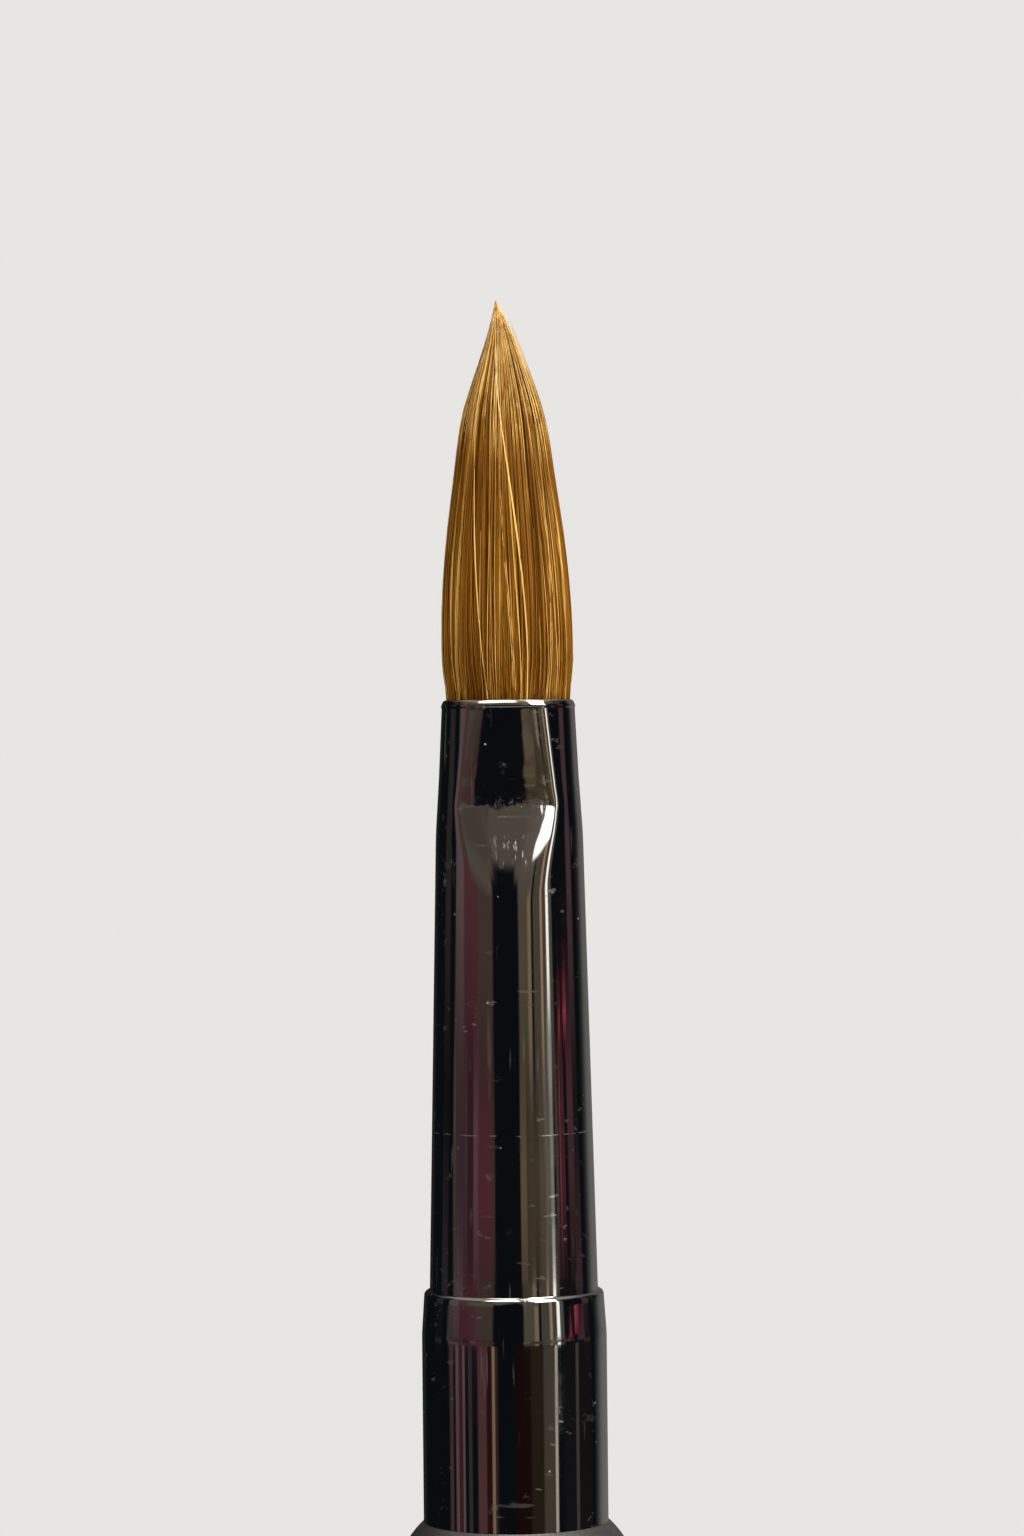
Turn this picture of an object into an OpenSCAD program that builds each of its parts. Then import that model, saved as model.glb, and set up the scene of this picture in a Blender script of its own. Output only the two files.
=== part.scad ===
// Pocket writing brush: a pointed sable tuft in a plated ferrule, set in a chrome collar and a
// satin barrel. The push-on cap is posted on the tail. The brush stands on the cap's end with
// its tip up. Origin at the centre of that end face, +Z along the brush to the tip, millimetres.

/* [Hair] */
// Length of hair beyond the mouth of the ferrule
hair_out = 20.8; // [16:0.1:24]
// Radius of the tuft at its belly
belly_r = 3.41; // [3.3:0.01:3.6]
// Height of the belly above the mouth of the ferrule
belly_rise = 2.6; // [1.5:0.1:4]
// Fullness of the tuft above its middle, as a share of the belly's radius
tuft_fullness = 0.068; // [0:0.001:0.08]
// Length of hair held inside the ferrule
root_len = 9; // [9:0.1:11]

/* [Ferrule] */
// Length of ferrule that shows
ferrule_len = 30.6; // [28:0.1:36]
// Outer radius just below the lip of the mouth
mouth_r = 3.5; // [3.48:0.01:3.55]
// Outer radius where the ferrule enters the collar
ferrule_base_r = 4.37; // [4.2:0.01:4.38]
// Thickness of the tube
ferrule_wall = 0.28; // [0.2:0.01:0.3]
// Distance from the mouth to the deepest place of the pinch
pinch_len = 5.2; // [4:0.1:5.3]
// Distance between the two pinched flats at the deepest place
pinch_width = 6.2; // [6:0.1:6.6]

/* [Collar] */
// Outer radius of the collars that the cap grips
collar_r = 4.8; // [4.8:0.01:4.82]
// Length of each collar that stands out of the barrel
collar_len = 12; // [10:0.1:14]
// Length of the tapered lead-in at the collar's nose
nose_len = 2.3; // [2:0.1:4]

/* [Barrel] */
// Outer radius of the barrel and the cap
barrel_r = 6.4; // [6.2:0.1:7.5]
// Length of the barrel with both shoulders
barrel_len = 54; // [40:1:90]
// Steepness of the shoulder where it meets the collar
shoulder_angle = 48; // [35:1:55]

/* [Cap] */
// Length of the cap
cap_len = 70.9; // [70:0.1:90]
// Thickness of the cap's shell
cap_wall = 0.7; // [0.6:0.05:0.7]
// Radial clearance between the cap's liner and a collar
cap_clearance = 0.04; // [0.02:0.01:0.05]

/* [Hidden] */
$fn = 96;

// Gap left between pieces that are pressed or glued together
seat_gap = 0.01;

// Levels along the brush, from the cap's end face up
cap_gap = 0.1;
tail_z = cap_len + cap_gap;
barrel_z = tail_z + barrel_len;
collar_z = barrel_z + collar_len;
mouth_z = collar_z + ferrule_len;
tip_z = mouth_z + hair_out;

// Tuft: the part in the mouth is squeezed to the root radius
belly_z = mouth_z + belly_rise;
root_r = 3.2;
root_z = mouth_z - root_len;
fullness_at = 0.67;
fullness_spread = 0.14;
tuft_steps = 24;
swell_steps = 4;
thread_r = 0.14;
thread_turns = 5;
thread_pitch = 1.9 * thread_r;

// Ferrule: the round tube starts below the pinched zone
lip_r = 0.18;
throat_r = root_r + 0.02;
round_z = mouth_z - pinch_len - 1.6;
round_r = 3.82;
pinch_r = 3.69;

// Pinch: each flat leans in from the lip, then rises back to the round tube
pinch_y = pinch_width / 2;
lip_y = (mouth_r + pinch_y) / 2;
pinch_rise = 0.8;
pinch_run = 2.2;

// Part of the ferrule inside the collar
ferrule_skirt = 6;
ferrule_z = collar_z - ferrule_skirt;

// Collars: the spigot inside the barrel is turned down a step
collar_wall = 0.35;
collar_bore = collar_r - collar_wall;
spigot_r = collar_r - 0.2;
spigot_bore = spigot_r - collar_wall;
spigot_len = 10;
spigot_lap = 1;
nose_r = collar_r - 0.15;
rim_r = 0.3;
rim_bore = ferrule_base_r + 2 * seat_gap;

// Turned core that joins ferrule, collar and barrel
tenon_top = collar_z + 7.9;
tenon_foot = 4;

// Shoulder of the barrel: an arc that turns from shoulder_angle to straight
shoulder_r = (barrel_r - collar_r) / (1 - cos(shoulder_angle));
shoulder_h = shoulder_r * sin(shoulder_angle);
shoulder_steps = 12;
barrel_bore = spigot_r + seat_gap;

// Cap
cap_bore = barrel_r - cap_wall;
ring_r = barrel_r + 0.12;
ring_h = 4.4;
ring_edge = 0.5;
ring_tenon = 4;
ring_bore = cap_bore - 0.4;
liner_r = collar_r + cap_clearance;
liner_len = 11.9;
liner_setback = 0.5;
end_h = 6;
end_flat_r = 4.6;
end_floor = 3;
end_tenon = 4;
end_bore = 4.8;
vent_r = 0.75;

// Radius of the free tuft at height z: it swells to the belly, then curves in to the point
function tuft_r(z) =
    let (c = (z - belly_z) / (tip_z - belly_z))
    z < belly_z
        ? root_r + (belly_r - root_r) * sin(90 * (z - mouth_z) / belly_rise)
        : c > 0.999
            ? 0
            : belly_r * (1 - c * c
                + tuft_fullness * exp(-pow((c - fullness_at) / fullness_spread, 2)));

// Outer radius of the round, tapering part of the ferrule at height z
function ferrule_r(z) =
    round_r + (ferrule_base_r - round_r) * (round_z - z) / (round_z - collar_z);

// Points on an arc about [x, z] from angle a0 to a1
function arc(x, z, r, a0, a1, n) =
    [for (i = [0 : n]) let (a = a0 + (a1 - a0) * i / n) [x + r * cos(a), z + r * sin(a)]];

// Cuts the two flats of the pinch from a turned shape, inset from the outside of the tube
module pinched(inset, over) {
    lean = (lip_y - pinch_y) / pinch_len;
    side_y = 2 * mouth_r;
    low_z = mouth_z - pinch_len - pinch_run;
    difference() {
        children();
        for (side = [0, 180])
            rotate([0, 0, side])
                rotate([90, 0, -90])
                    linear_extrude(2 * side_y, center = true)
                        polygon([
                            [lip_y - inset + over * lean, mouth_z + over],
                            [pinch_y - inset, mouth_z - pinch_len],
                            [pinch_y - inset + pinch_rise, low_z],
                            [side_y, low_z], [side_y, mouth_z + over]
                        ]);
    }
}

module hair_tuft() {
    swell = [for (i = [1 : swell_steps])
        let (z = mouth_z + belly_rise * i / swell_steps) [tuft_r(z), z]];
    point = [for (i = [1 : tuft_steps])
        let (z = belly_z + (tip_z - belly_z) * i / tuft_steps) [tuft_r(z), z]];
    color("peru")
        pinched(ferrule_wall + seat_gap, 0)
            rotate_extrude()
                polygon(concat([[0, root_z], [root_r, root_z], [root_r, mouth_z]], swell, point));
}

// Waxed thread tied round the cut ends of the hair, in touching turns
module root_thread() {
    low_z = root_z + 2 * thread_r;
    inner_r = root_r + seat_gap;
    color("antiquewhite")
        rotate_extrude()
            union() {
                for (i = [0 : thread_turns - 1])
                    translate([inner_r + thread_r, low_z + i * thread_pitch]) circle(thread_r);
                translate([inner_r, low_z])
                    square([thread_r / 2, (thread_turns - 1) * thread_pitch]);
            }
}

// Cement poured behind the cut ends of the hair
module root_cement() {
    cement_h = 3;
    foot_z = root_z - cement_h - seat_gap;
    gap = ferrule_wall + seat_gap;
    color("goldenrod")
        translate([0, 0, foot_z])
            cylinder(h = cement_h, r1 = ferrule_r(foot_z) - gap,
                     r2 = ferrule_r(foot_z + cement_h) - gap);
}

// Outside of the ferrule, solid: a slight taper up to the pinch, and a rolled lip
module ferrule_body() {
    rotate_extrude()
        polygon(concat(
            [[0, ferrule_z], [ferrule_base_r, ferrule_z], [ferrule_base_r, collar_z],
             [round_r, round_z], [pinch_r, mouth_z - pinch_len]],
            arc(mouth_r - lip_r, mouth_z - lip_r, lip_r, 0, 90, 6),
            [[0, mouth_z]]
        ));
}

// Space inside the ferrule, which runs out past both of its ends
module ferrule_space() {
    skirt_r = ferrule_base_r - ferrule_wall;
    rotate_extrude()
        polygon([
            [0, ferrule_z - 1], [skirt_r, ferrule_z - 1], [skirt_r, collar_z],
            [round_r - ferrule_wall, round_z - 0.4], [throat_r, round_z + 0.4],
            [throat_r, mouth_z + 1], [0, mouth_z + 1]
        ]);
}

// Drawn tube, pinched flat front and back so that it grips the hair
module ferrule() {
    color("silver")
        difference() {
            pinched(0, 1) ferrule_body();
            pinched(ferrule_wall, 2) ferrule_space();
        }
}

// Hardwood core, turned in steps to fill the ferrule, the collar and the barrel's end
module handle_tenon() {
    tip_r = ferrule_r(tenon_top) - ferrule_wall - seat_gap;
    skirt_r = ferrule_base_r - ferrule_wall - seat_gap;
    fill_r = collar_bore - seat_gap;
    neck_r = spigot_bore - seat_gap;
    neck_z = barrel_z + spigot_lap + seat_gap;
    foot_r = spigot_r - seat_gap;
    foot_z = barrel_z - spigot_len;
    color("burlywood")
        rotate_extrude()
            polygon([
                [0, foot_z - tenon_foot], [foot_r, foot_z - tenon_foot],
                [foot_r, foot_z - seat_gap], [neck_r, foot_z - seat_gap],
                [neck_r, neck_z], [fill_r, neck_z],
                [fill_r, ferrule_z - seat_gap], [skirt_r, ferrule_z - seat_gap],
                [skirt_r, collar_z], [tip_r, tenon_top], [0, tenon_top]
            ]);
}

// Chrome tube with a tapered nose and a spigot: it stands on z = 0, and its nose points up
module collar() {
    rotate_extrude()
        polygon(concat(
            [[spigot_bore, -spigot_len], [spigot_r, -spigot_len], [spigot_r, 0],
             [collar_r, 0], [collar_r, collar_len - nose_len]],
            arc(nose_r - rim_r, collar_len - rim_r, rim_r, 0, 90, 6),
            [[rim_bore, collar_len], [rim_bore, collar_len - nose_len],
             [collar_bore, collar_len - nose_len], [collar_bore, spigot_lap],
             [spigot_bore, spigot_lap]]
        ));
}

module front_collar() {
    color("gainsboro")
        translate([0, 0, barrel_z])
            collar();
}

module tail_collar() {
    color("gainsboro")
        translate([0, 0, tail_z])
            mirror([0, 0, 1])
                collar();
}

// Moulded plug that closes the nose of the tail collar
module tail_plug() {
    face_z = tail_z - collar_len + 0.2;
    neck_h = nose_len - 0.2;
    head_h = 3;
    color("dimgray")
        translate([0, 0, face_z])
            union() {
                cylinder(h = neck_h + 1, r = rim_bore - seat_gap);
                translate([0, 0, neck_h + seat_gap])
                    cylinder(h = head_h, r = collar_bore - seat_gap);
            }
}

// Satin tube with a rounded shoulder at each end, where a cap's mouth stops
module barrel_shell() {
    low = arc(barrel_r - shoulder_r, tail_z + shoulder_h, shoulder_r, -shoulder_angle, 0,
              shoulder_steps);
    high = arc(barrel_r - shoulder_r, barrel_z - shoulder_h, shoulder_r, 0, shoulder_angle,
               shoulder_steps);
    color("slategray")
        difference() {
            rotate_extrude()
                polygon(concat([[0, tail_z]], low, high, [[0, barrel_z]]));
            translate([0, 0, tail_z - 1])
                cylinder(h = barrel_len + 2, r = barrel_bore);
        }
}

module cap_shell() {
    low_z = end_h + seat_gap;
    high_z = cap_len - ring_h - seat_gap;
    color("slategray")
        translate([0, 0, low_z])
            difference() {
                cylinder(h = high_z - low_z, r = barrel_r);
                translate([0, 0, -1])
                    cylinder(h = high_z - low_z + 2, r = cap_bore);
            }
}

// Plated trim ring at the mouth of the cap, with a thin tenon inside the shell
module cap_mouth_ring() {
    low_z = cap_len - ring_h;
    centre_r = ring_r - ring_edge;
    color("gainsboro")
        rotate_extrude()
            polygon(concat(
                [[ring_bore, low_z - ring_tenon], [cap_bore - seat_gap, low_z - ring_tenon],
                 [cap_bore - seat_gap, low_z]],
                arc(centre_r, low_z + ring_edge, ring_edge, -90, 0, 6),
                arc(centre_r, cap_len - ring_edge, ring_edge, 0, 90, 6),
                [[ring_bore, cap_len]]
            ));
}

// Moulded sleeve that grips the collar; its flange stops it under the ring's tenon
module cap_liner() {
    high_z = cap_len - liner_setback;
    low_z = high_z - liner_len;
    flange_z = cap_len - ring_h - ring_tenon - seat_gap;
    color("black")
        rotate_extrude()
            polygon([
                [liner_r, low_z], [cap_bore - seat_gap, low_z], [cap_bore - seat_gap, flange_z],
                [ring_bore - seat_gap, flange_z], [ring_bore - seat_gap, high_z],
                [liner_r + 0.2, high_z], [liner_r, high_z - 0.5]
            ]);
}

// Plated end of the cap: a cup with a flat foot and a vent that lets wet hair dry
module cap_end_plug() {
    rise = end_h - 2.2;
    flare = barrel_r - end_flat_r;
    dome = [for (i = [0 : 10]) let (a = 90 * i / 10)
        [end_flat_r + flare * sin(a), rise * (1 - cos(a))]];
    tenon_r = cap_bore - seat_gap;
    color("gainsboro")
        difference() {
            rotate_extrude()
                polygon(concat([[0, 0]], dome,
                    [[barrel_r, end_h], [tenon_r, end_h], [tenon_r, end_h + end_tenon],
                     [0, end_h + end_tenon]]));
            translate([0, 0, end_floor])
                cylinder(h = end_h + end_tenon, r = end_bore);
            translate([0, 0, -1])
                cylinder(h = end_floor + 2, r = vent_r);
        }
}

hair_tuft();
root_thread();
root_cement();
ferrule();
handle_tenon();
front_collar();
barrel_shell();
tail_collar();
tail_plug();
cap_shell();
cap_mouth_ring();
cap_liner();
cap_end_plug();
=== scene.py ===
# Pocket writing brush: a pointed sable tuft in a pinched nickel ferrule, a chrome collar, a satin
# grey barrel, and the push-on cap posted on the tail. The sections follow the way it is put
# together, from the hair down to the end of the cap. Metres, +Z to the tip, -Y to the front.
import math

import bmesh
import bpy
import numpy as np
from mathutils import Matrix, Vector, noise


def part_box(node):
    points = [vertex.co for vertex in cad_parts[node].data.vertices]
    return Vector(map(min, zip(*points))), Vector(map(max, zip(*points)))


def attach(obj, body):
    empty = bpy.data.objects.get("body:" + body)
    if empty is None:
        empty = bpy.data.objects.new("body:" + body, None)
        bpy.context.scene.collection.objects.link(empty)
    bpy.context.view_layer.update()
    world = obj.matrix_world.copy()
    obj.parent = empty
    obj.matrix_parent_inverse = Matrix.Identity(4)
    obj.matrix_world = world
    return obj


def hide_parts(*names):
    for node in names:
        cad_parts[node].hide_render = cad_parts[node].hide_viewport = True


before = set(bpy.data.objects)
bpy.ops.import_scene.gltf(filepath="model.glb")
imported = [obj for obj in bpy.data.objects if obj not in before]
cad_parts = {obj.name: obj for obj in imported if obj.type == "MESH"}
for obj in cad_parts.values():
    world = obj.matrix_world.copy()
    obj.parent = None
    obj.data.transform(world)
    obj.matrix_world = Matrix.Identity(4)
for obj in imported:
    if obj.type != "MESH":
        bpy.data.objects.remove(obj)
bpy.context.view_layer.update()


# ---------------------------------------------------------------- Hair core
# The middle of the tuft: hairs packed so closely that they read as one grooved body.
# It is spun to the tuft's outline, a little inside it, and sits in the mouth of the ferrule.
mouth_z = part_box("ferrule")[1].z
tip_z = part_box("hair_tuft")[1].z
belly_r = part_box("hair_tuft")[1].x
root_r = 0.0032
belly_z = mouth_z + 0.0026
fullness = 0.068
fullness_at = 0.67
fullness_spread = 0.14
point_lean = 0.00028
lean_fade = 0.0013
tuft_bend = 0.00018


def tuft_radius(z):
    """Radius of the tuft at height z: it swells from the mouth to the belly, then closes to the point."""
    rise = np.clip((z - mouth_z) / (belly_z - mouth_z), 0, 1)
    close = np.clip((z - belly_z) / (tip_z - belly_z), 0, 1)
    swell = root_r + (belly_r - root_r) * np.sin(rise * math.pi / 2)
    full = fullness * np.exp(-((close - fullness_at) / fullness_spread) ** 2)
    return np.where(z < belly_z, swell, belly_r * (1 - close ** 2 + full * (close < 1)))


def tuft_lean(z):
    """How far the tuft bends to the left at height z, most of all at its point."""
    up = np.clip((z - mouth_z) / (tip_z - mouth_z), 0, 1)
    return -tuft_bend * up - point_lean * np.exp(-(tip_z - z) / lean_fade)


def new_piece(mesh, body, cad_node, material):
    """Puts a mesh in the scene as a piece that rides on a body and stands for a CAD node."""
    piece = bpy.data.objects.new(mesh.name, mesh)
    bpy.context.scene.collection.objects.link(piece)
    piece.data.materials.append(material)
    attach(piece, body)
    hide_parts(cad_node)
    return piece


def turned(name, corners, rounds=(), rings=(), steps=160, closed=True):
    """A mesh turned about Z from the corners (radius, height) of its section.

    rounds gives (corner, width, segments) for each rounded corner, and rings gives
    (low, high, gap) for each range of heights where rings lie at most gap apart.
    """
    bm = bmesh.new()
    points = [bm.verts.new((radius, 0, height)) for radius, height in corners]
    for pair in zip(points, points[1:] + points[:1] if closed else points[1:]):
        bm.edges.new(pair)
    for corner, width, segments in rounds:
        bmesh.ops.bevel(bm, geom=[points[corner]], offset=width, offset_type="OFFSET",
                        segments=segments, profile=0.5, affect="VERTICES", material=-1)
    for low, high, gap in rings:
        for edge in [e for e in bm.edges if low < (e.verts[0].co.z + e.verts[1].co.z) / 2 < high]:
            cuts = math.ceil(edge.calc_length() / gap) - 1
            if cuts > 0:
                bmesh.ops.subdivide_edges(bm, edges=[edge], cuts=cuts)
    bmesh.ops.spin(bm, geom=bm.verts[:] + bm.edges[:], cent=(0, 0, 0), axis=(0, 0, 1),
                   angle=math.tau, steps=steps, use_merge=True)
    bmesh.ops.remove_doubles(bm, verts=bm.verts[:], dist=1e-7)
    bmesh.ops.recalc_face_normals(bm, faces=bm.faces[:])
    mesh = bpy.data.meshes.new(name)
    bm.to_mesh(mesh)
    bm.free()
    mesh.shade_smooth()
    mesh.set_sharp_from_angle(angle=math.radians(35))
    return mesh


def node(tree, kind, inputs=(), **settings):
    """Adds a shader node, with its settings and its inputs, which are values or other sockets."""
    made = tree.nodes.new(("Node" if kind in ("GroupInput", "GroupOutput") else "ShaderNode") + kind)
    for key, value in settings.items():
        setattr(made, key, value)
    for key, value in dict(inputs).items():
        if isinstance(value, bpy.types.NodeSocket):
            tree.links.new(value, made.inputs[key])
        else:
            made.inputs[key].default_value = value
    return made


def new_material(name, **sockets):
    """A material whose Principled BSDF has these plain socket values. Returns it, its tree and BSDF."""
    material = bpy.data.materials.new(name)
    material.use_nodes = True
    tree = material.node_tree
    shader = tree.nodes["Principled BSDF"]
    for key, value in sockets.items():
        shader.inputs[key.replace("_", " ")].default_value = value
    return material, tree, shader


def object_point(tree, scale=(1, 1, 1), turn=(0, 0, 0)):
    """Object coordinates through a Mapping node."""
    where = node(tree, "TexCoord")
    return node(tree, "Mapping", {"Vector": where.outputs["Object"], "Scale": scale,
                                  "Rotation": turn}).outputs[0]


def ramp(tree, value, stops):
    """A Color Ramp on a value, with stops of (position, colour)."""
    made = node(tree, "ValToRGB", {"Fac": value})
    while len(made.color_ramp.elements) < len(stops):
        made.color_ramp.elements.new(1)
    for element, (position, colour) in zip(made.color_ramp.elements, stops):
        element.position = position
        element.color = (*colour, 1)
    return made.outputs["Color"]


def blend(tree, amount, first, second):
    """Mixes two colours by an amount."""
    made = node(tree, "Mix", data_type="RGBA")
    for key, value in ((0, amount), (6, first), (7, second)):
        if isinstance(value, bpy.types.NodeSocket):
            tree.links.new(value, made.inputs[key])
        elif key == 0:
            made.inputs[key].default_value = value
        else:
            made.inputs[key].default_value = (*value, 1)
    return made.outputs[2]


def calc(tree, operation, *values, clamp=False):
    """A Math node on values or sockets."""
    return node(tree, "Math", dict(enumerate(values)), operation=operation,
                use_clamp=clamp).outputs[0]


def grainy(tree, scale, detail=2.0, stretch=(1, 1, 1), turn=(0, 0, 0), **more):
    """Noise on object coordinates that are scaled by stretch and turned first."""
    return node(tree, "TexNoise", {"Vector": object_point(tree, stretch, turn), "Scale": scale,
                                   "Detail": detail, **more}).outputs["Fac"]


def span(tree, value, low, high, kind="LINEAR"):
    """How far a value has come from low (0) to high (1)."""
    return node(tree, "MapRange", {"Value": value, "From Min": low, "From Max": high},
                interpolation_type=kind).outputs[0]


def bump(tree, shader, height, strength, distance):
    """Raises the surface by a height, in metres at full strength."""
    raised = node(tree, "Bump", {"Height": height, "Strength": strength, "Distance": distance})
    tree.links.new(raised.outputs[0], shader.inputs["Normal"])


def node_group(name, inputs, outputs, colours=()):
    """An empty shader node group. Returns it, the inputs seen from inside, and its outputs."""
    group = bpy.data.node_groups.new(name, "ShaderNodeTree")
    for side, labels in (("INPUT", inputs), ("OUTPUT", outputs)):
        for label in labels:
            kind = "Color" if label in colours else "Float"
            group.interface.new_socket(label, in_out=side, socket_type="NodeSocket" + kind)
    return group, node(group, "GroupInput").outputs, node(group, "GroupOutput").inputs


dark_hair = (0.045, 0.013, 0.0012)
mid_hair = (0.168, 0.060, 0.0045)
gold_hair = (0.35, 0.148, 0.014)
pale_hair = (0.90, 0.56, 0.16)
# Near-white gold for the painted highlights on single hairs near the tip.
tip_highlight_hair = (1.0, 0.76, 0.35)
hair_sheen = (1.0, 0.72, 0.40, 1.0)


def streaks_group():
    """Long streaks along the hair: a value that changes fast round the tuft and slowly along it."""
    group, given, result = node_group("hair_streaks", ["Fineness"], ["Streak"])
    streak = grainy(group, given["Fineness"], 4.0, stretch=(1000, 1000, 60), Roughness=0.6)
    group.links.new(streak, result["Streak"])
    return group


hair_streaks = streaks_group()

core_hair, tree, shader = new_material("packed_hair", IOR=1.5, Specular_IOR_Level=0.2,
                                      Specular_Tint=hair_sheen)
streak = node(tree, "Group", node_tree=hair_streaks)
streak.inputs["Fineness"].default_value = 5.0
tree.links.new(ramp(tree, streak.outputs[0], [(0.3, dark_hair), (0.55, mid_hair), (0.75, gold_hair)]),
               shader.inputs["Base Color"])
tree.links.new(calc(tree, "MULTIPLY_ADD", streak.outputs[0], 0.3, 0.35), shader.inputs["Roughness"])
bump(tree, shader, streak.outputs[0], 0.9, 0.00004)

core_scale = 0.93
core_steps = 24
core_foot = mouth_z - 0.002
core_top = tip_z - 0.0006
core_tip = tip_z - 0.0005
core_heights = [mouth_z + (core_top - mouth_z) * i / core_steps for i in range(core_steps + 1)]
section = [(0, core_foot), (root_r * core_scale, core_foot)]
section += [(float(tuft_radius(z)) * core_scale, z) for z in core_heights] + [(0, core_tip)]
core_mesh = turned("hair_core", section, steps=96, closed=False)
for vertex in core_mesh.vertices:
    vertex.co.x += float(tuft_lean(vertex.co.z))
new_piece(core_mesh, "brush", "hair_tuft", core_hair)


# ---------------------------------------------------------------- Hair layers
# Sable hairs lie in clumps that hold together from the mouth to the point. Each hair is a
# real tapered strand; a lower layer fills behind the clumps and is coloured dark as painted
# shade in the gaps, and every hair has its own tone, darker toward its lock's edges as painted shade.
strand_rings = 18
strand_foot = mouth_z - 0.0008
cross_fade = 0.14
lip_press = 0.00018


def strand_rows(name, number):
    """A mesh of plain four-sided strands in a row, one for each hair, 4 units apart along X."""
    bm = bmesh.new()
    bmesh.ops.create_cone(bm, cap_ends=True, segments=4, radius1=1, radius2=1, depth=1)
    long_edges = [e for e in bm.edges if abs(e.verts[0].co.z - e.verts[1].co.z) > 0.5]
    bmesh.ops.subdivide_edges(bm, edges=long_edges, cuts=strand_rings - 2)
    bmesh.ops.translate(bm, verts=bm.verts[:], vec=(0, 0, 0.5))
    mesh = bpy.data.meshes.new("one_strand")
    bm.to_mesh(mesh)
    bm.free()
    single = bpy.data.objects.new("one_strand", mesh)
    bpy.context.scene.collection.objects.link(single)
    row = single.modifiers.new("row", "ARRAY")
    row.count = number
    row.use_relative_offset = False
    row.use_constant_offset = True
    row.constant_offset_displace = (4, 0, 0)
    depsgraph = bpy.context.evaluated_depsgraph_get()
    made = bpy.data.meshes.new_from_object(single.evaluated_get(depsgraph))
    made.name = name
    bpy.data.objects.remove(single)
    bpy.data.meshes.remove(mesh)
    return made


def place_strands(mesh, hairs):
    """Bends each strand of a row into its place in the tuft.

    hairs holds one number for each hair: angle and end_angle round the tuft, and how late it turns
    from one to the other; cross, its slant at the root; depth as a share of the tuft's radius, and
    lift above it; wave, phase and bends of its wander; groove at its lock's edge; stray, how far its
    end stands off; foot and end height, thickness and tone.
    """
    flat = np.empty(len(mesh.vertices) * 3)
    mesh.vertices.foreach_get("co", flat)
    local = flat.reshape(-1, 3)
    which = np.floor((local[:, 0] + 2) / 4).astype(int)
    across = local[:, 0] - 4 * which
    outward = local[:, 1]
    along = 1 - (1 - local[:, 2]) ** 1.2
    own = {key: values[which] for key, values in hairs.items()}

    def turned_to(t):
        """Angle of each strand round the tuft at the share t of its length."""
        t = np.maximum(t, 0)
        turn = own["angle"] + (own["end_angle"] - own["angle"]) * t ** own["late"]
        turn = turn + own["wave"] * np.sin(own["phase"] + t * own["bends"])
        return turn + own["cross"] * np.exp(-t / cross_fade)

    def line(t):
        """Middle of each strand at the share t of its length."""
        z = own["foot"] + (own["end"] - own["foot"]) * t
        turn = turned_to(t)
        open_part = np.clip((z - mouth_z) / 0.0015, 0, 1)
        closing = np.clip((tip_z - z) / 0.006, 0, 1)
        radius = tuft_radius(z) * own["depth"] + own["lift"] * open_part * closing
        radius = radius - own["groove"] * closing * (0.35 + 0.65 * open_part)
        pressed = lip_press * np.cos(turn) ** 4 * np.clip((belly_z - z) / (belly_z - mouth_z), 0, 1)
        radius = np.maximum(radius - pressed, 0) + own["stray"] * np.maximum(t, 0) ** 8
        return np.stack([radius * np.sin(turn) + tuft_lean(z), -radius * np.cos(turn), z], 1)

    middle = line(along)
    tangent = line(along + 0.01) - line(along - 0.01)
    tangent /= np.linalg.norm(tangent, axis=1)[:, None]
    turn = turned_to(along)
    out = np.stack([np.sin(turn), -np.cos(turn), np.zeros(len(turn))], 1)
    side = np.cross(tangent, out)
    side /= np.linalg.norm(side, axis=1)[:, None]
    out = np.cross(side, tangent)
    thin = np.clip((along - 0.35) / 0.65, 0, 1)
    taper = 1 - 0.15 * np.clip((0.35 - along) / 0.35, 0, 1) - thin ** 1.6
    half = own["thick"] * np.maximum(taper, 0.12)
    placed = middle + side * (across * half)[:, None] + out * (outward * half)[:, None]
    mesh.vertices.foreach_set("co", placed.ravel())
    height = (middle[:, 2] - mouth_z) / (tip_z - mouth_z)
    for name, values in (("tone", own["tone"]), ("height", height)):
        mesh.attributes.new(name, "FLOAT", "POINT").data.foreach_set("value", values.astype(np.float32))
    mesh.shade_smooth()
    mesh.update()


def attribute(tree, name):
    """A number that each vertex of the hair carries."""
    return node(tree, "Attribute", attribute_name=name).outputs["Fac"]


strand_hair, tree, shader = new_material("sable_hair", IOR=1.55, Specular_IOR_Level=0.22,
                                        Specular_Tint=hair_sheen)
tone = attribute(tree, "tone")
height = attribute(tree, "height")
streak = node(tree, "Group", node_tree=hair_streaks)
streak.inputs["Fineness"].default_value = 1.6
shade = calc(tree, "MULTIPLY_ADD", streak.outputs[0], 0.6, calc(tree, "SUBTRACT", tone, 0.3))
# Paler toward the tip: partly the lighter tips of sable hair, partly painted sheen where the point turns up
# to the lamps.
toward_tip = calc(tree, "MULTIPLY", span(tree, height, 0.58, 1.0), 3.0)
paler = calc(tree, "MULTIPLY", calc(tree, "SUBTRACT", shade, 0.21), toward_tip)
shade = calc(tree, "ADD", shade, paler)
# Strands pale enough near the tip blend to near white: a painted highlight on single hairs.
tip_highlight = span(tree, shade, 1.15, 2.0)
colour = ramp(tree, shade, [(0.02, dark_hair), (0.42, mid_hair), (0.75, gold_hair), (1.0, pale_hair)])
tree.links.new(blend(tree, tip_highlight, colour, tip_highlight_hair), shader.inputs["Base Color"])
tree.links.new(calc(tree, "MULTIPLY_ADD", streak.outputs[0], 0.25, 0.22), shader.inputs["Roughness"])
bump(tree, shader, grainy(tree, 26000.0, 1.0, stretch=(1, 1, 2.5)), 0.25, 0.000006)

draw = np.random.default_rng(17)


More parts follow.
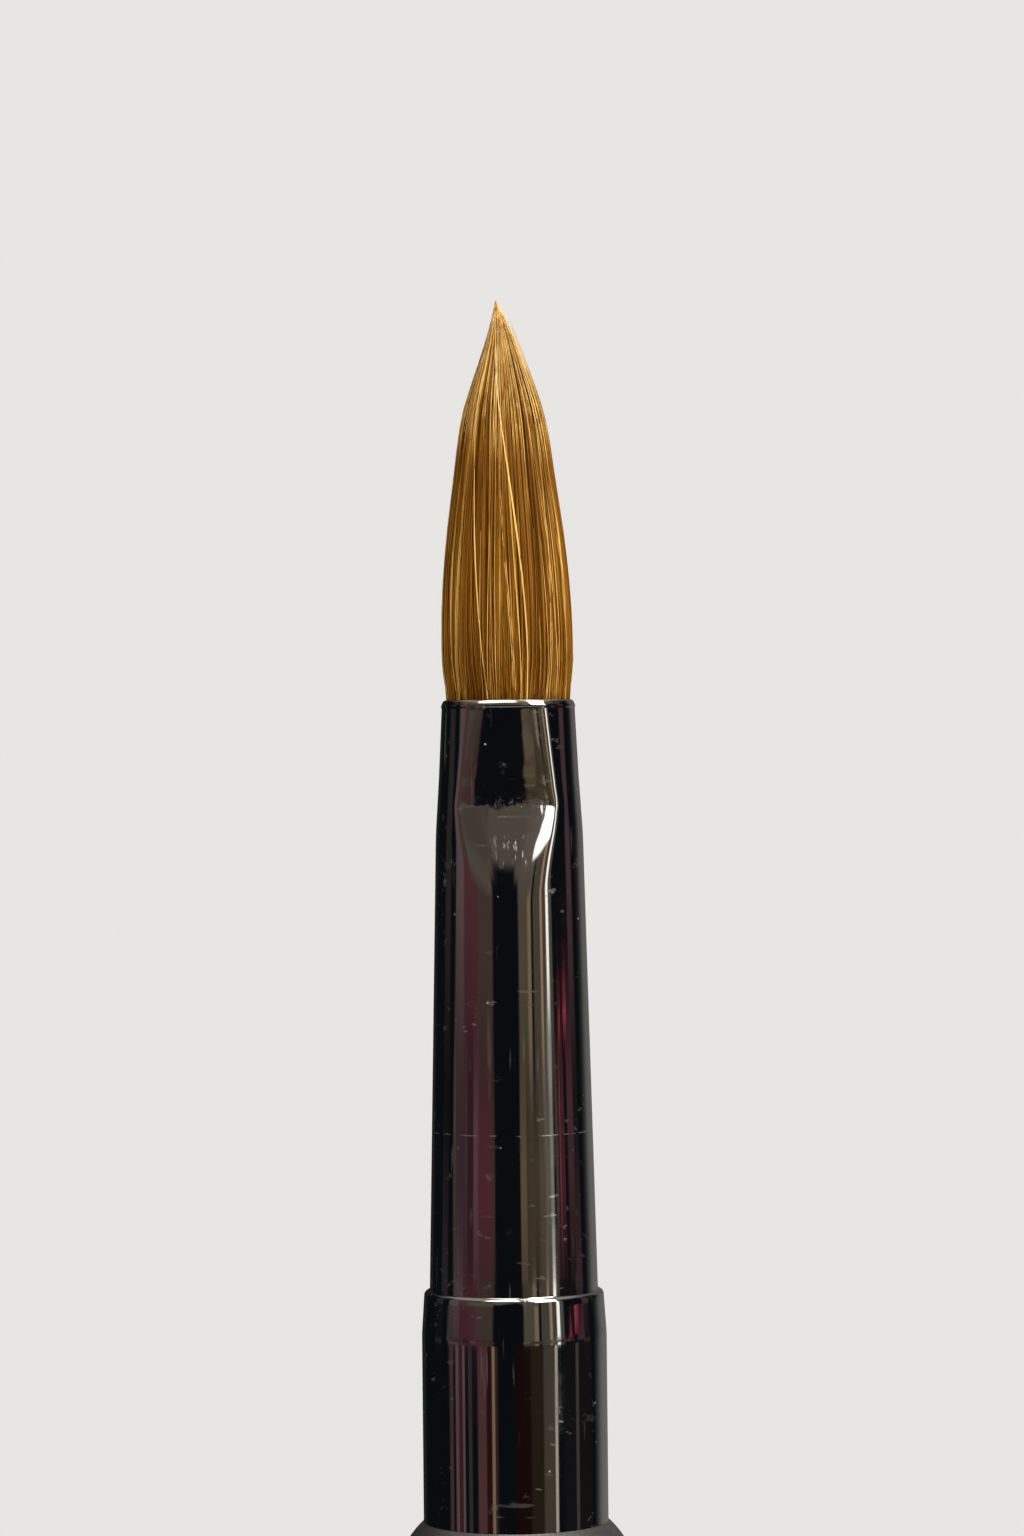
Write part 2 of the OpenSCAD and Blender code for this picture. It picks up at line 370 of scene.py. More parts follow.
def split_round(parts):
    """Divides the turn into parts of uneven width. Returns their edges, middles and half widths."""
    edges = np.concatenate([[0], np.cumsum(draw.uniform(0.5, 1.7, parts))])
    edges *= math.tau / edges[-1]
    return edges, (edges[1:] + edges[:-1]) / 2, (edges[1:] - edges[:-1]) / 2


clumps = 30
locks = 150
wisps = 520
clump_edges, clump_middle, _ = split_round(clumps)
lock_edges, lock_middle, lock_half = split_round(locks)
lock_clump = np.searchsorted(clump_edges, lock_middle, side="right") - 1
lock_tone = draw.normal(0, 0.035, locks) + draw.normal(0, 0.02, clumps)[lock_clump]
lock_lift = draw.uniform(-0.00006, 0.00004, locks)
lock_cross = draw.normal(0, 0.05, locks)
wisp_edges, wisp_middle, _ = split_round(wisps)
wisp_tone = draw.normal(0, 0.095, wisps)
wisp_lift = draw.uniform(-0.00003, 0.00003, wisps)
lock_end = clump_middle[lock_clump] + (lock_middle - clump_middle[lock_clump]) * 0.85
lock_end += draw.normal(0, 0.02, locks) + draw.normal(0, 0.04, clumps)[lock_clump]


def lay_hairs(number, depth, tone, tone_spread, thick, gather, groove):
    """Hairs set at random round the mouth, gathered into the locks they fall in."""
    angle = draw.uniform(0, math.tau, number)
    lock = np.searchsorted(lock_edges, angle, side="right") - 1
    edge = (angle - lock_middle[lock]) / lock_half[lock]
    wisp = np.searchsorted(wisp_edges, angle, side="right") - 1
    gathered = wisp_middle[wisp] + (angle - wisp_middle[wisp]) * 0.5
    in_lock = (gathered - lock_middle[lock]) * gather
    return {
        "angle": gathered,
        "end_angle": lock_end[lock] + in_lock + draw.normal(0, 0.004, number),
        "late": np.ones(number),
        "cross": lock_cross[lock] + draw.normal(0, 0.004, number),
        "depth": depth + draw.uniform(-0.012, 0.012, number),
        "lift": lock_lift[lock] + wisp_lift[wisp],
        "wave": draw.normal(0, 0.003, number),
        "phase": draw.uniform(0, math.tau, number),
        "bends": draw.uniform(2, 5, number),
        "groove": groove * np.abs(edge) ** 2.5,
        "stray": np.zeros(number),
        "foot": strand_foot - draw.uniform(0, 0.0003, number),
        "end": tip_z - np.abs(draw.normal(0, 0.0014, number)) - 0.00005,
        "thick": thick * draw.uniform(0.7, 1.2, number),
        # Random tone, lowered toward the lock's edges: that darkening is painted shade in the grooves
        # between locks.
        "tone": np.clip(tone + lock_tone[lock] + wisp_tone[wisp] + draw.normal(0, tone_spread, number)
                        - 0.07 * np.abs(edge) ** 3, 0, 1),
    }


def hair_piece(name, hairs):
    """One piece of hair from the numbers of its hairs."""
    mesh = strand_rows(name, len(hairs["angle"]))
    place_strands(mesh, hairs)
    new_piece(mesh, "brush", "hair_tuft", strand_hair)


layer_hairs = 1300
# The under layer's low tone is painted shade: the hairs seen in the gaps between the clumps are coloured
# dark.
hair_piece("hair_under", lay_hairs(layer_hairs, 0.93, 0.12, 0.08, 0.000050, 0.9, 0.0))
for layer in ("a", "b", "c"):
    hair_piece("hair_outer_" + layer, lay_hairs(layer_hairs, 0.972, 0.36, 0.12, 0.000034, 0.66, 0.00006))


# ---------------------------------------------------------------- Guard hairs
# A few long guard hairs lie over the locks, some of them across the rest; their tone, paler than the locks,
# is a painted highlight.
# Short frayed ends stand off beside the point, and a few strays leave the tuft at its sides.
def loose_hairs(number, angle, drift, late, ends, stray, thick, tone):
    """Hairs on top of the tuft; ends, stray, thick and tone are (low, high) and ends lie below the tip."""
    return {
        "angle": angle,
        "end_angle": angle + drift,
        "late": np.full(number, late),
        "cross": draw.normal(0, 0.03, number),
        "depth": np.full(number, 0.985),
        "lift": draw.uniform(0.00002, 0.00006, number),
        "wave": draw.normal(0, 0.02, number),
        "phase": draw.uniform(0, math.tau, number),
        "bends": draw.uniform(1.5, 4, number),
        "groove": np.zeros(number),
        "stray": draw.uniform(*stray, number),
        "foot": np.full(number, strand_foot),
        "end": tip_z - draw.uniform(*ends, number),
        "thick": draw.uniform(*thick, number),
        "tone": draw.uniform(*tone, number),
    }


no_stray = (0, 0)
guard_count = 170
# Tone from 0.55 to 0.9, above the locks' tone: a painted highlight on the guard hairs.
guards = loose_hairs(guard_count, draw.uniform(0, math.tau, guard_count), draw.normal(0, 0.12, guard_count),
                     1.0, (0.0004, 0.010), no_stray, (0.000014, 0.000026), (0.55, 0.9))
hair_piece("guard_hairs", guards)

# Long guard hairs coloured pale gold to near white as painted highlights, in small bundles: angle at
# the root and turn toward the tip in degrees, how late they turn, how far below the tip they end,
# and half their thickness.
highlight_guards = [
    (19, -44, 2.2, 0.0006, 0.000034), (14, -12, 1.0, 0.0050, 0.000018), (-18, -27, 1.0, 0.0022, 0.000026),
    (9, -18, 1.0, 0.0060, 0.000018), (40, 10, 1.0, 0.0040, 0.000020), (70, -8, 1.0, 0.0030, 0.000022),
    (-52, 6, 1.0, 0.0045, 0.000018), (140, 30, 1.5, 0.0020, 0.000026), (205, -25, 1.0, 0.0010, 0.000028),
]
bundle = 2
across = np.tile(np.radians([-0.5, 0.5]), len(highlight_guards))
roots, drifts, lates, short, thicks = (np.repeat(column, bundle) for column in zip(*highlight_guards))
bright = loose_hairs(len(roots), np.radians(roots) + across, np.radians(drifts), 1.0, (0, 0.0004), no_stray,
                     (0, 0), (0.96, 1.0))
bright.update({"late": lates, "end": bright["end"] - short, "thick": thicks, "wave": 0 * across})
hair_piece("highlight_guard_hairs", bright)

fray_count = 14
frays = loose_hairs(fray_count, np.radians(draw.uniform(60, 125, fray_count)),
                    draw.normal(0, 0.1, fray_count), 1.0, (0.0007, 0.0021), (0.00008, 0.00026),
                    (0.000022, 0.000032), (0.3, 0.6))
hair_piece("frayed_hairs", frays)
stray_count = 36
strays = loose_hairs(stray_count, draw.uniform(0, math.tau, stray_count), draw.normal(0, 0.06, stray_count),
                     1.0, (0.0030, 0.0190), (0.00003, 0.00014), (0.000018, 0.000028), (0.3, 0.7))
hair_piece("stray_hairs", strays)


# ---------------------------------------------------------------- Root thread
# Waxed linen thread, tied round the cut ends of the hair before they go into the ferrule.
waxed, tree, shader = new_material("waxed_thread", Sheen_Weight=0.2)
twist = node(tree, "TexWave", {"Vector": object_point(tree, scale=(1, 1, 2)), "Scale": 2600.0,
                               "Distortion": 2.0, "Detail": 2.0}, bands_direction="DIAGONAL")
tree.links.new(ramp(tree, twist.outputs["Fac"], [(0.2, (0.36, 0.28, 0.15)), (0.8, (0.72, 0.62, 0.42))]),
               shader.inputs["Base Color"])
tree.links.new(calc(tree, "MULTIPLY_ADD", twist.outputs["Fac"], 0.25, 0.45), shader.inputs["Roughness"])
bump(tree, shader, twist.outputs["Fac"], 0.6, 0.00003)


def finish_node(name, material):
    """Gives a CAD node that stays its material."""
    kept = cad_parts[name]
    kept.data.materials.clear()
    kept.data.materials.append(material)


finish_node("root_thread", waxed)


# ---------------------------------------------------------------- Root cement
# Amber resin poured behind the cut ends, which locks hair and thread in the ferrule.
resin, tree, shader = new_material("amber_resin", Coat_Weight=0.4, IOR=1.5)
cloud = grainy(tree, 900.0, 5.0)
tree.links.new(ramp(tree, cloud, [(0.35, (0.32, 0.15, 0.03)), (0.7, (0.62, 0.36, 0.09))]),
               shader.inputs["Base Color"])
tree.links.new(calc(tree, "MULTIPLY_ADD", cloud, 0.3, 0.12), shader.inputs["Roughness"])
bump(tree, shader, cloud, 0.3, 0.00005)
finish_node("root_cement", resin)


# ---------------------------------------------------------------- Ferrule
# Seamless nickel-plated brass tube, drawn to a slight taper, with a rolled lip at the mouth.
# A crimping tool has pressed it in at the front and the back, just below the mouth.
collar_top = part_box("front_collar")[1].z
ferrule_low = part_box("ferrule")[0].z
base_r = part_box("ferrule")[1].x
mouth_r = 0.0035
throat_r = 0.00322
wall = 0.00028
round_z = mouth_z - 0.0068
round_r = 0.00382
pinch_z = mouth_z - 0.0052
pinch_r = 0.00369
skirt_z = collar_top
bead_foot_z = mouth_z - 0.00044
bead_z = mouth_z - 0.00032
bead = 0.00004
lip_roll = 0.00012
lip_flat = 0.0033
pinch_flat = 0.0031
flat_turn_r = 0.0082
flat_blend = 0.00027
low_blend = 0.00060
slope_top = mouth_z - 0.0053
slope_low = mouth_z - 0.0107


def outline_radius(z):
    """Outer radius of the tube at height z before it is pinched."""
    heights = (skirt_z, round_z, pinch_z, mouth_z)
    return float(np.interp(z, heights, (base_r, round_r, pinch_r, mouth_r)))


def corner_blend(z):
    """How widely the pressed face runs into the round tube: softer toward the foot of the slope."""
    down = min(max((slope_top - z) / (slope_top - slope_low), 0), 1)
    return flat_blend + (low_blend - flat_blend) * down * down * (3 - 2 * down)


def flat_distance(x, y, z):
    """Distance of the pressed face from the axis: it leans in from the lip, then rises back below."""
    side = math.copysign(1, y)
    ragged = 1.3 * noise.noise(Vector((x * 620, 3 * side, 4.7)))
    ragged += 0.6 * noise.noise(Vector((x * 1700, side, 0.7)))
    ragged += 0.5 * noise.noise(Vector((x * 4200, 5 * side, 0.2)))
    down = min(max((mouth_z - z) / (mouth_z - slope_top), 0), 1)
    below = slope_top - z
    below += 0.00026 * ragged * math.exp(-max(below, 0) / 0.00040)
    rise = min(max(below / (slope_top - slope_low), 0), 1)
    rise = 1.06 * rise * rise / (rise + 0.06)
    rise = 0.85 * rise + 0.15 * rise * rise * (3 - 2 * rise)
    face = lip_flat + (pinch_flat - lip_flat) * down
    face += rise * (outline_radius(z) + low_blend - face)
    dents = 0.000008 * noise.noise(Vector((x * 900, side, z * 700)))
    dents += 0.0000022 * noise.noise(Vector((x * 2300, side, z * 1500)))
    crease = math.exp(-((z - slope_top + 0.0002) / 0.00035) ** 2)
    crinkle = 0.000009 * crease * noise.noise(Vector((x * 3100, 2 * side, z * 2600)))
    return face - x * x / (2 * flat_turn_r) + dents * (1 - rise) + crinkle


def pinch(bm):
    """Presses the tube in, front and back, against two nearly flat faces with soft corners."""
    for vertex in bm.verts:
        x, y, z = vertex.co
        if z < slope_low or y == 0:
            continue
        inside = max(outline_radius(z) - math.hypot(x, y), 0)
        face = flat_distance(x, y, z) - inside
        soft = corner_blend(z)
        share = min(max(0.5 + (face - abs(y)) / (2 * soft), 0), 1)
        pressed = face + (abs(y) - face) * share - soft * share * (1 - share)
        vertex.co.y = math.copysign(pressed, y)


pinched_low = slope_low - 0.0006
pinched_r = round_r + (base_r - round_r) * (round_z - pinched_low) / (round_z - skirt_z)
section = [
    (base_r - wall, ferrule_low), (base_r, ferrule_low), (base_r, skirt_z), (pinched_r, pinched_low),
    (round_r, round_z), (pinch_r, pinch_z), (mouth_r - bead, bead_foot_z), (mouth_r, bead_z),
    (mouth_r - lip_roll, mouth_z - 0.00005), (throat_r + 0.00006, mouth_z), (throat_r, mouth_z - 0.00006),
    (throat_r, round_z + 0.0004), (round_r - wall, round_z - 0.0004), (base_r - wall, skirt_z),
]
ferrule_mesh = turned("ferrule_tube", section,
                      rounds=[(9, 0.00003, 3), (8, 0.00006, 4), (7, 0.00006, 4), (6, 0.00005, 4),
                              (5, 0.0012, 3), (4, 0.0007, 4)],
                      rings=[(skirt_z, pinched_low, 0.001), (pinched_low, mouth_z, 0.00012)], steps=256)
bm = bmesh.new()
bm.from_mesh(ferrule_mesh)
pinch(bm)
bm.to_mesh(ferrule_mesh)
bm.free()
ferrule_mesh.shade_smooth()
ferrule_mesh.set_sharp_from_angle(angle=math.radians(35))


def scratches_group():
    """Fine handling scratches in two directions: a mask from 0 to 1."""
    group, given, result = node_group("fine_scratches", ["Spacing", "Rarity"], ["Mask"])
    full = calc(group, "ADD", given["Rarity"], 0.03)
    masks = []
    for turn, stretch in (((0.2, 0.1, 0.5), (900, 900, 40)), ((0.9, -0.4, 0.2), (50, 900, 900))):
        line = span(group, grainy(group, given["Spacing"], 2.0, stretch, turn), given["Rarity"], full)
        here = span(group, grainy(group, 1.0, 1.0, (300, 300, 300), turn), 0.5, 0.65)
        masks.append(calc(group, "MULTIPLY", line, here))
    group.links.new(calc(group, "MAXIMUM", *masks), result["Mask"])
    return group


def smudges_group():
    """Finger marks and dried water: soft blotches and short wiped smears, masks from 0 to 1."""
    group, given, result = node_group("smudges", ["Size"], ["Mask", "Smear"])
    blot = grainy(group, given["Size"], 6.0, Roughness=0.65, Distortion=0.4)
    group.links.new(span(group, blot, 0.5, 0.72, "SMOOTHSTEP"), result["Mask"])
    here = span(group, grainy(group, 520.0, stretch=(1, 1, 1.6)), 0.68, 0.78)
    wiped = grainy(group, 4200.0, 4.0, stretch=(1, 1, 2.2), turn=(0.5, 0.3, 0), Distortion=1.2)
    group.links.new(calc(group, "MULTIPLY", here, span(group, wiped, 0.48, 0.72)), result["Smear"])
    return group


def specks_group():
    """Pits and dust: small round spots, a mask from 0 to 1."""
    group, given, result = node_group("specks", ["Spacing"], ["Mask"])
    cells = node(group, "TexVoronoi", {"Vector": object_point(group), "Scale": given["Spacing"]})
    spot = span(group, cells.outputs["Distance"], 0.13, 0.05)
    pick = node(group, "SeparateColor", {"Color": cells.outputs["Color"]})
    rare = calc(group, "GREATER_THAN", pick.outputs[0], 0.95)
    group.links.new(calc(group, "MULTIPLY", spot, rare), result["Mask"])
    return group


fine_scratches = scratches_group()
smudges = smudges_group()
specks = specks_group()


def shaded(colour, share):
    """A colour made darker or lighter."""
    return tuple(share * c for c in colour)


def worn_plate(name, colour, gloss, scratch_rarity, smudge_size, extra=None):
    """Polished plating: fine scratches, smudges, specks and a faint waviness."""
    material, tree, shader = new_material(name, Metallic=1.0)
    scratch = node(tree, "Group", node_tree=fine_scratches)
    scratch.inputs["Spacing"].default_value = 3.2
    scratch.inputs["Rarity"].default_value = scratch_rarity
    smudge = node(tree, "Group", node_tree=smudges)
    smudge.inputs["Size"].default_value = smudge_size
    speck = node(tree, "Group", node_tree=specks)
    speck.inputs["Spacing"].default_value = 1700.0
    marks = extra(tree) if extra else 0.0
    tint = grainy(tree, 500.0, 3.0, stretch=(1, 1, 0.3))
    plate = ramp(tree, tint, [(0.3, shaded(colour, 0.93)), (0.7, colour)])
    plate = blend(tree, calc(tree, "MULTIPLY", smudge.outputs[0], 0.35), plate, shaded(colour, 0.8))
    tree.links.new(plate, shader.inputs["Base Color"])
    rough = calc(tree, "MULTIPLY_ADD", smudge.outputs[0], 0.06, gloss)
    rough = calc(tree, "MULTIPLY_ADD", scratch.outputs[0], 0.16, rough)
    rough = calc(tree, "MULTIPLY_ADD", speck.outputs[0], 0.35, rough)
    rough = calc(tree, "MULTIPLY_ADD", marks, 0.2, rough)
    tree.links.new(rough, shader.inputs["Roughness"])
    dust = calc(tree, "MULTIPLY", smudge.outputs["Smear"], 0.16)
    dust = calc(tree, "MULTIPLY_ADD", speck.outputs[0], 0.3, dust)
    dust = calc(tree, "MULTIPLY_ADD", scratch.outputs[0], 0.06, dust)
    dust = calc(tree, "MULTIPLY_ADD", marks, 0.10, dust)
    tree.links.new(calc(tree, "SUBTRACT", 1.0, dust, clamp=True), shader.inputs["Metallic"])
    relief = calc(tree, "MULTIPLY", grainy(tree, 420.0, stretch=(1, 1, 0.25)), 0.55)
    relief = calc(tree, "MULTIPLY_ADD", scratch.outputs[0], -0.25, relief)
    relief = calc(tree, "MULTIPLY_ADD", speck.outputs[0], 0.4, relief)
    relief = calc(tree, "MULTIPLY_ADD", marks, -0.8, relief)
    bump(tree, shader, relief, 0.5, 0.000006)
    return material


def both(tree, *masks):
    """The overlap of some masks."""
    kept = masks[0]
    for mask in masks[1:]:
        kept = calc(tree, "MULTIPLY", kept, mask)
    return kept


scores_z = mouth_z - 0.0078
rubbed_z = collar_top + 0.0082


def tool_marks(tree):
    """Flaked folds and upright scores that the crimping tool left, and the ring a cap's mouth rubs."""
    place = node(tree, "SeparateXYZ", {"Vector": object_point(tree)}).outputs
    across = calc(tree, "ABSOLUTE", place["X"])
    score = span(tree, grainy(tree, 7600.0, 1.0, stretch=(1, 1, 0.025)), 0.58, 0.64)
    near = span(tree, across, 0.0012, 0.0007)
    off = calc(tree, "ABSOLUTE", calc(tree, "SUBTRACT", place["Z"], scores_z))
    band = span(tree, off, 0.0009, 0.0005)
    creased = calc(tree, "ABSOLUTE", calc(tree, "SUBTRACT", place["Z"], slope_top))
    fold = span(tree, creased, 0.0005, 0.0001)
    wide = span(tree, across, 0.0022, 0.0017)
    cracked = span(tree, grainy(tree, 6500.0, turn=(0.2, 0.5, 0.1), Distortion=1.5), 0.64, 0.72)
    pressed = calc(tree, "MAXIMUM", both(tree, score, near, band), both(tree, cracked, wide, fold))
    ring_z = calc(tree, "MULTIPLY_ADD", grainy(tree, 350.0), 0.0001, rubbed_z)
    gap = calc(tree, "ABSOLUTE", calc(tree, "SUBTRACT", place["Z"], ring_z))
    ring = span(tree, gap, 0.00003, 0.00001)
    shown = span(tree, grainy(tree, 1500.0, stretch=(1, 1, 0.1)), 0.45, 0.55)
    return calc(tree, "MAXIMUM", pressed, both(tree, ring, shown))


nickel = worn_plate("nickel_plate", (0.70, 0.68, 0.65), 0.045, 0.66, 260.0, extra=tool_marks)
new_piece(ferrule_mesh, "brush", "ferrule", nickel)


# ---------------------------------------------------------------- Handle tenon
# Turned beech core, glued into ferrule, collar and barrel. It is hidden once all is together.
beech, tree, shader = new_material("turned_beech")
grain = grainy(tree, 1800.0, 6.0, stretch=(1, 1, 0.05), Distortion=0.5)
tree.links.new(ramp(tree, grain, [(0.3, (0.30, 0.16, 0.07)), (0.65, (0.58, 0.38, 0.20))]),
               shader.inputs["Base Color"])
tree.links.new(calc(tree, "MULTIPLY_ADD", grain, 0.25, 0.5), shader.inputs["Roughness"])
bump(tree, shader, grain, 0.5, 0.00004)
finish_node("handle_tenon", beech)


# ---------------------------------------------------------------- Collars
# Two chrome tubes, one at each end of the barrel, with a tapered nose that leads the cap on.
# Each is turned down to a spigot that is pressed into the barrel.
chrome = worn_plate("chrome_plate", (0.66, 0.66, 0.66), 0.04, 0.655, 240.0)
barrel_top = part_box("barrel_shell")[1].z
barrel_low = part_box("barrel_shell")[0].z
collar_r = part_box("front_collar")[1].x
nose = 0.0023
nose_r = collar_r - 0.00015
collar_bore = collar_r - 0.00035
rim_bore = base_r + 0.00002
spigot_r = collar_r - 0.0002
spigot_bore = spigot_r - 0.00035
web = 0.001


def collar_mesh(name, shoulder, top, spigot_end):
    """A collar from its step at the barrel to its nose; top below shoulder turns it over."""
    way = 1 if top > shoulder else -1
    crease = top - way * nose
    section = [
        (spigot_bore, spigot_end), (spigot_r, spigot_end), (spigot_r, shoulder),
        (collar_r, shoulder), (collar_r, crease), (nose_r, top), (rim_bore, top),
        (rim_bore, crease), (collar_bore, crease), (collar_bore, shoulder + way * web),
        (spigot_bore, shoulder + way * web),
    ]
    return turned(name, section, rounds=[(4, 0.00015, 4), (5, 0.00025, 6), (6, 0.00006, 3)],
                  rings=[(min(shoulder, top), max(shoulder, top), 0.00025)], steps=192)


tail_end, tail_spigot_end = (corner.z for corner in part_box("tail_collar"))
for cad_node, shoulder, top, spigot_end in (
    ("front_collar", barrel_top, collar_top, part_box("front_collar")[0].z),
    ("tail_collar", barrel_low, tail_end, tail_spigot_end),
):
    mesh = collar_mesh(cad_node + "_chrome", shoulder, top, spigot_end)
    new_piece(mesh, "brush", cad_node, chrome)


# ---------------------------------------------------------------- Barrel
# Drawn aluminium tube, satin blasted and anodised dark grey, spun over to a round shoulder at
# each end. The cap's mouth stops against the shoulder.
barrel_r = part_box("barrel_shell")[1].x
shoulder_angle = math.radians(48)
shoulder_r = (barrel_r - collar_r) / (1 - math.cos(shoulder_angle))
shoulder_steps = 12
press_gap = 0.00001


def shoulder_points(end_z, way):
    """Points of a shoulder's arc, from the collar out to the straight barrel."""
    turns = [shoulder_angle * (1 - i / shoulder_steps) for i in range(shoulder_steps + 1)]
    low = shoulder_r * math.sin(shoulder_angle)
    return [(barrel_r - shoulder_r + shoulder_r * math.cos(a),
             end_z - way * (low - shoulder_r * math.sin(a))) for a in turns]


bore = spigot_r + press_gap
section = shoulder_points(barrel_top, 1) + shoulder_points(barrel_low, -1)[::-1]
section += [(bore, barrel_low), (bore, barrel_top)]
barrel_mesh = turned("barrel_tube", section, rounds=[(0, 0.00006, 2), (2 * shoulder_steps + 1, 0.00006, 2)])


def satin_finish(name, colour):
    """Blasted and anodised aluminium: fine grain, faint turning lines, handling smudges and scuffs."""
    material, tree, shader = new_material(name, Metallic=0.85)
    grain = grainy(tree, 14000.0, 3.0)
    lines = grainy(tree, 9000.0, 3.0, stretch=(0.02, 0.02, 1))
    smudge = node(tree, "Group", node_tree=smudges)
    smudge.inputs["Size"].default_value = 120.0
    scratch = node(tree, "Group", node_tree=fine_scratches)
    scratch.inputs["Spacing"].default_value = 2.2
    scratch.inputs["Rarity"].default_value = 0.67
    mottled = ramp(tree, grain, [(0.3, shaded(colour, 0.8)), (0.7, shaded(colour, 1.15))])
    mottled = blend(tree, calc(tree, "MULTIPLY", scratch.outputs[0], 0.4), mottled, shaded(colour, 2.2))
    tree.links.new(mottled, shader.inputs["Base Color"])
    rough = calc(tree, "MULTIPLY_ADD", grain, 0.12, 0.33)
    rough = calc(tree, "MULTIPLY_ADD", smudge.outputs[0], -0.08, rough)
    tree.links.new(rough, shader.inputs["Roughness"])
    bump(tree, shader, calc(tree, "MULTIPLY_ADD", lines, 0.6, grain), 0.35, 0.000012)
    return material


satin_grey = satin_finish("satin_grey", (0.17, 0.165, 0.155))
new_piece(barrel_mesh, "brush", "barrel_shell", satin_grey)


# ---------------------------------------------------------------- Tail plug
# Black moulding pressed into the tail collar's nose, seen only when the cap is off the tail.
plug_low, plug_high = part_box("tail_plug")
plug_r = collar_bore - press_gap
plug_nose_r = rim_bore - press_gap
plug_step = barrel_low - 0.0097
section = [(0, plug_low.z), (plug_nose_r, plug_low.z), (plug_nose_r, plug_step),
           (plug_r, plug_step), (plug_r, plug_high.z), (0, plug_high.z)]
plug_mesh = turned("tail_plug_moulding", section, rounds=[(1, 0.0002, 3)], steps=96, closed=False)
moulding, tree, shader = new_material("black_moulding", Specular_IOR_Level=0.4)
spark = grainy(tree, 9000.0)
black = ramp(tree, spark, [(0.3, (0.018, 0.018, 0.019)), (0.7, (0.035, 0.035, 0.036))])
tree.links.new(black, shader.inputs["Base Color"])
tree.links.new(calc(tree, "MULTIPLY_ADD", spark, 0.3, 0.35), shader.inputs["Roughness"])
bump(tree, shader, spark, 0.3, 0.00001)
new_piece(plug_mesh, "brush", "tail_plug", moulding)


# ---------------------------------------------------------------- Cap tube
# The cap's shell is the same satin tube as the barrel, open at both ends.
shell_low, shell_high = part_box("cap_shell")
cap_bore = shell_high.x - 0.0007
section = [(cap_bore, shell_low.z), (shell_high.x, shell_low.z),
           (shell_high.x, shell_high.z), (cap_bore, shell_high.z)]
mesh = turned("cap_tube", section, rounds=[(1, 0.00008, 2), (2, 0.00008, 2)])
new_piece(mesh, "cap", "cap_shell", satin_grey)


# ---------------------------------------------------------------- Cap trim ring
# Chrome ring pressed over the mouth of the cap by a thin tenon inside the shell.
ring_low, ring_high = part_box("cap_mouth_ring")
ring_r = ring_high.x
ring_bore = cap_bore - 0.0004
ring_foot = shell_high.z + press_gap
in_cap_r = cap_bore - press_gap
section = [(ring_bore, ring_low.z), (in_cap_r, ring_low.z), (in_cap_r, ring_foot),
           (ring_r, ring_foot), (ring_r, ring_high.z), (ring_bore, ring_high.z)]
mesh = turned("cap_trim_ring", section, rounds=[(3, 0.0005, 6), (4, 0.0005, 6), (5, 0.0001, 2)], steps=192)
new_piece(mesh, "cap", "cap_mouth_ring", chrome)


# ---------------------------------------------------------------- Cap grip liner
# Black moulded sleeve inside the cap's mouth that grips either collar.
liner_low, liner_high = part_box("cap_liner")
liner_bore = collar_r + 0.00004
liner_flange = ring_low.z - press_gap
liner_neck_r = ring_bore - press_gap
section = [(liner_bore, liner_low.z), (in_cap_r, liner_low.z), (in_cap_r, liner_flange),
           (liner_neck_r, liner_flange), (liner_neck_r, liner_high.z), (liner_bore, liner_high.z)]
mesh = turned("cap_grip_liner", section, rounds=[(5, 0.0002, 3)], steps=128)
new_piece(mesh, "cap", "cap_liner", moulding)


# ---------------------------------------------------------------- Cap end
# Chrome cup pressed into the foot of the cap, with a flat to stand on and a hole in its
# middle that lets wet hair dry.
end_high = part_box("cap_end_plug")[1].z
dome_h = 0.0038
flat_r = 0.0046
end_seat = shell_low.z - press_gap
floor_top = 0.003
cup_bore = 0.0048
vent_r = 0.00075
dome_steps = 12
dome = [(flat_r + (barrel_r - flat_r) * math.sin(a), dome_h * (1 - math.cos(a)))
        for a in (math.pi / 2 * i / dome_steps for i in range(1, dome_steps + 1))]
section = [(vent_r, 0), (flat_r, 0)] + dome + [
    (barrel_r, end_seat), (in_cap_r, end_seat), (in_cap_r, end_high), (cup_bore, end_high),
    (cup_bore, floor_top), (vent_r, floor_top)]
mesh = turned("cap_end_cup", section, rounds=[(0, 0.0002, 3)])
new_piece(mesh, "cap", "cap_end_plug", chrome)


# ---------------------------------------------------------------- Studio
# Plain pale floor that runs into an even pale background, soft boxes for the hair, and dark
# flags and narrow cards round the brush that polished metal mirrors.
pale = (0.80, 0.79, 0.77)
floor_reach = 6.0

bm = bmesh.new()
bmesh.ops.create_circle(bm, cap_ends=True, segments=96, radius=floor_reach)
floor_mesh = bpy.data.meshes.new("studio_floor")
bm.to_mesh(floor_mesh)
bm.free()
floor = bpy.data.objects.new("studio_floor", floor_mesh)
bpy.context.scene.collection.objects.link(floor)
floor.location.z = -0.00003
floor.visible_glossy = False
paper, tree, shader = new_material("pale_paper", Roughness=0.9, Specular_IOR_Level=0.0)
place = node(tree, "SeparateXYZ", {"Vector": object_point(tree)})
reach = calc(tree, "SQRT", calc(tree, "ADD", calc(tree, "POWER", place.outputs["X"], 2.0),
                                calc(tree, "POWER", place.outputs["Y"], 2.0)))
far = span(tree, reach, 0.10, 0.50, "SMOOTHSTEP")
shader.inputs["Base Color"].default_value = (0.43, 0.43, 0.42, 1)
glow = node(tree, "Emission", {"Color": (*pale, 1), "Strength": 1.0})
joined = node(tree, "MixShader", {0: far, 1: shader.outputs[0], 2: glow.outputs[0]})
tree.links.new(joined.outputs[0], tree.nodes["Material Output"].inputs["Surface"])
floor_mesh.materials.append(paper)


